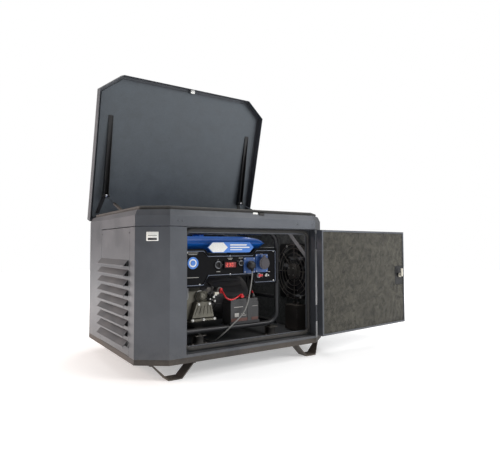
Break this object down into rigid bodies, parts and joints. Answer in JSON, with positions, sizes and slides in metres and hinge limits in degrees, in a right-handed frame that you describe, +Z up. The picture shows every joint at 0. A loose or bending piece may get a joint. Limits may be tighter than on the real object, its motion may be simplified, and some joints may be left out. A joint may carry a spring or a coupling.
{
  "type": "home standby generator",
  "caption": "Weatherproof steel cabinet on four feet with a raised gas-sprung lid and a side-hinged door, holding an open-frame petrol generating set.",
  "frame": {"origin": "on the ground, at the centre of the four anchor holes in the feet", "axes": "+X to the right seen from the door side, +Y from the door to the back wall, +Z up"},
  "size_m": [1.7361, 0.9492, 1.5528],
  "materials": {
    "cabinet_paint": "fine textured powder coat, satin metallic grey",
    "base_paint": "semi-matt near-black",
    "black_metal": "satin black",
    "seal_rubber": "matt",
    "felt_lining": "mottled needle felt",
    "zinc_steel": "bright zinc",
    "chrome_rod": "polished",
    "liner_metal": "smooth satin grey",
    "frame_tube": "semi-gloss grey",
    "tank_paint": "gloss blue",
    "panel_paint": "satin black with fine grain",
    "fitting_trim": "satin",
    "socket_blue": "satin",
    "knob_plastic": "matt",
    "red_plastic": "gloss",
    "cast_alloy": "as cast",
    "hot_steel": "dull, slightly blued",
    "alternator_alloy": "painted casting",
    "battery_case": "satin",
    "cable_red": "satin sheath",
    "lead_sheath": "satin sheath",
    "cream_zamak": "satin cream"
  },
  "bodies": {
    "cabinet": {"base_frame": "base_paint", "floor_pan": "cabinet_paint", "feet": "base_paint", "front_post_left": "cabinet_paint", "front_post_right": "cabinet_paint", "rear_shell": "cabinet_paint", "louvre_panel_left": "cabinet_paint", "louvre_panel_right": "cabinet_paint", "top_rim": "cabinet_paint", "door_surround": "cabinet_paint", "rubber_seals": "seal_rubber", "acoustic_lining": "felt_lining", "fan_shroud": "black_metal", "fan_guard": "black_metal", "junction_box": "base_paint", "corner_brace": "cabinet_paint", "rim_fittings": "zinc_steel", "lid_hinge_bases": "black_metal", "door_hinge_bases": "cabinet_paint", "exhaust_pipe": "hot_steel", "cable_gland": "knob_plastic", "genset_frame": "frame_tube", "rubber_mounts": "seal_rubber", "fuel_tank": "tank_paint", "control_panel": "panel_paint", "panel_fittings": "fitting_trim", "socket_16a": "socket_blue", "socket_32a": "socket_blue", "power_plug": "knob_plastic", "power_cord": "lead_sheath", "engine_block": "cast_alloy", "engine_cylinder": "cast_alloy", "rocker_cover": "cast_alloy", "blower_housing": "black_metal", "air_cleaner": "knob_plastic", "muffler": "hot_steel", "alternator": "alternator_alloy", "battery": "battery_case", "battery_cables": "cable_red"},
    "lid": {"lid_shell": "cabinet_paint", "lid_liner": "liner_metal", "lid_arms": "black_metal", "lid_hinge_leaves": "black_metal", "lid_catch": "zinc_steel"},
    "door": {"door_shell": "cabinet_paint", "door_lining": "felt_lining", "door_hinge_leaves": "cabinet_paint", "door_latch_plate": "black_metal"},
    "door_latch": {"door_latch_cam": "cream_zamak", "door_handle": "knob_plastic"},
    "fan": {"fan_rotor": "knob_plastic"},
    "tank_cap": {"fuel_cap": "knob_plastic"},
    "ignition": {"ignition_switch": "knob_plastic"},
    "selector": {"voltage_selector": "knob_plastic"},
    "fuse": {"fuse_button": "red_plastic"},
    "flap": {"socket_flap": "knob_plastic"},
    "spring_left": {"gas_cylinder_left": "black_metal"},
    "spring_right": {"gas_cylinder_right": "black_metal"},
    "rod_left": {"gas_rod_left": "chrome_rod"},
    "rod_right": {"gas_rod_right": "chrome_rod"}
  },
  "joints": [
    {"name": "lid_hinge", "type": "hinge", "parent": "cabinet", "child": "lid", "pos_m": [0, 0.428, 0.716], "axis": [1, 0, 0], "range_deg": [0, 75.7]},
    {"name": "door_hinge", "type": "hinge", "parent": "cabinet", "child": "door", "pos_m": [0.417, -0.424, 0.388], "axis": [0, 0, -1], "range_deg": [0, 184.7]},
    {"name": "door_latch_turn", "type": "hinge", "parent": "door", "child": "door_latch", "pos_m": [1.11613, -0.37254, 0.3965], "axis": [0.0819, -0.9966, 0], "range_deg": [-90, 0]},
    {"name": "fan_spin", "type": "hinge", "parent": "cabinet", "child": "fan", "pos_m": [0.492, -0.153, 0.428], "axis": [1, 0, 0], "continuous": true},
    {"name": "fuel_cap_turn", "type": "hinge", "parent": "cabinet", "child": "tank_cap", "pos_m": [-0.1, -0.06, 0.64], "axis": [0, 0, 1], "range_deg": [0, 120]},
    {"name": "ignition_turn", "type": "hinge", "parent": "cabinet", "child": "ignition", "pos_m": [-0.096, -0.275, 0.485], "axis": [0, -1, 0], "range_deg": [-90, 0]},
    {"name": "selector_turn", "type": "hinge", "parent": "cabinet", "child": "selector", "pos_m": [0.038, -0.275, 0.491], "axis": [0, -1, 0], "range_deg": [-60, 60]},
    {"name": "fuse_press", "type": "slide", "parent": "cabinet", "child": "fuse", "axis": [0, 1, 0], "range_m": [0, 0.0025], "stiffness_N_per_m": 600},
    {"name": "flap_hinge", "type": "hinge", "parent": "cabinet", "child": "flap", "pos_m": [0.166, -0.296, 0.526], "axis": [1, 0, 0], "range_deg": [-95, 0], "stiffness_Nm_per_rad": 0.05, "springref_deg": 20.05},
    {"name": "spring_left_swing", "type": "hinge", "parent": "cabinet", "child": "spring_left", "pos_m": [-0.463, 0.05, 0.745], "axis": [1, 0, 0], "range_deg": [-25.72, 0]},
    {"name": "rod_left_slide", "type": "slide", "parent": "spring_left", "child": "rod_left", "axis": [0, 0.938, 0.3465], "range_m": [-0.15152, 0]},
    {"name": "spring_right_swing", "type": "hinge", "parent": "cabinet", "child": "spring_right", "pos_m": [0.463, 0.05, 0.745], "axis": [1, 0, 0], "range_deg": [-25.72, 0]},
    {"name": "rod_right_slide", "type": "slide", "parent": "spring_right", "child": "rod_right", "axis": [0, 0.938, 0.3465], "range_m": [-0.15152, 0]}
  ],
  "couplings": [
    {"joint": "spring_left_swing", "follows": "lid_hinge", "ratio": -0.33709},
    {"joint": "rod_left_slide", "follows": "lid_hinge", "m_per_rad": -0.11446},
    {"joint": "spring_right_swing", "follows": "lid_hinge", "ratio": -0.33709},
    {"joint": "rod_right_slide", "follows": "lid_hinge", "m_per_rad": -0.11446}
  ]
}
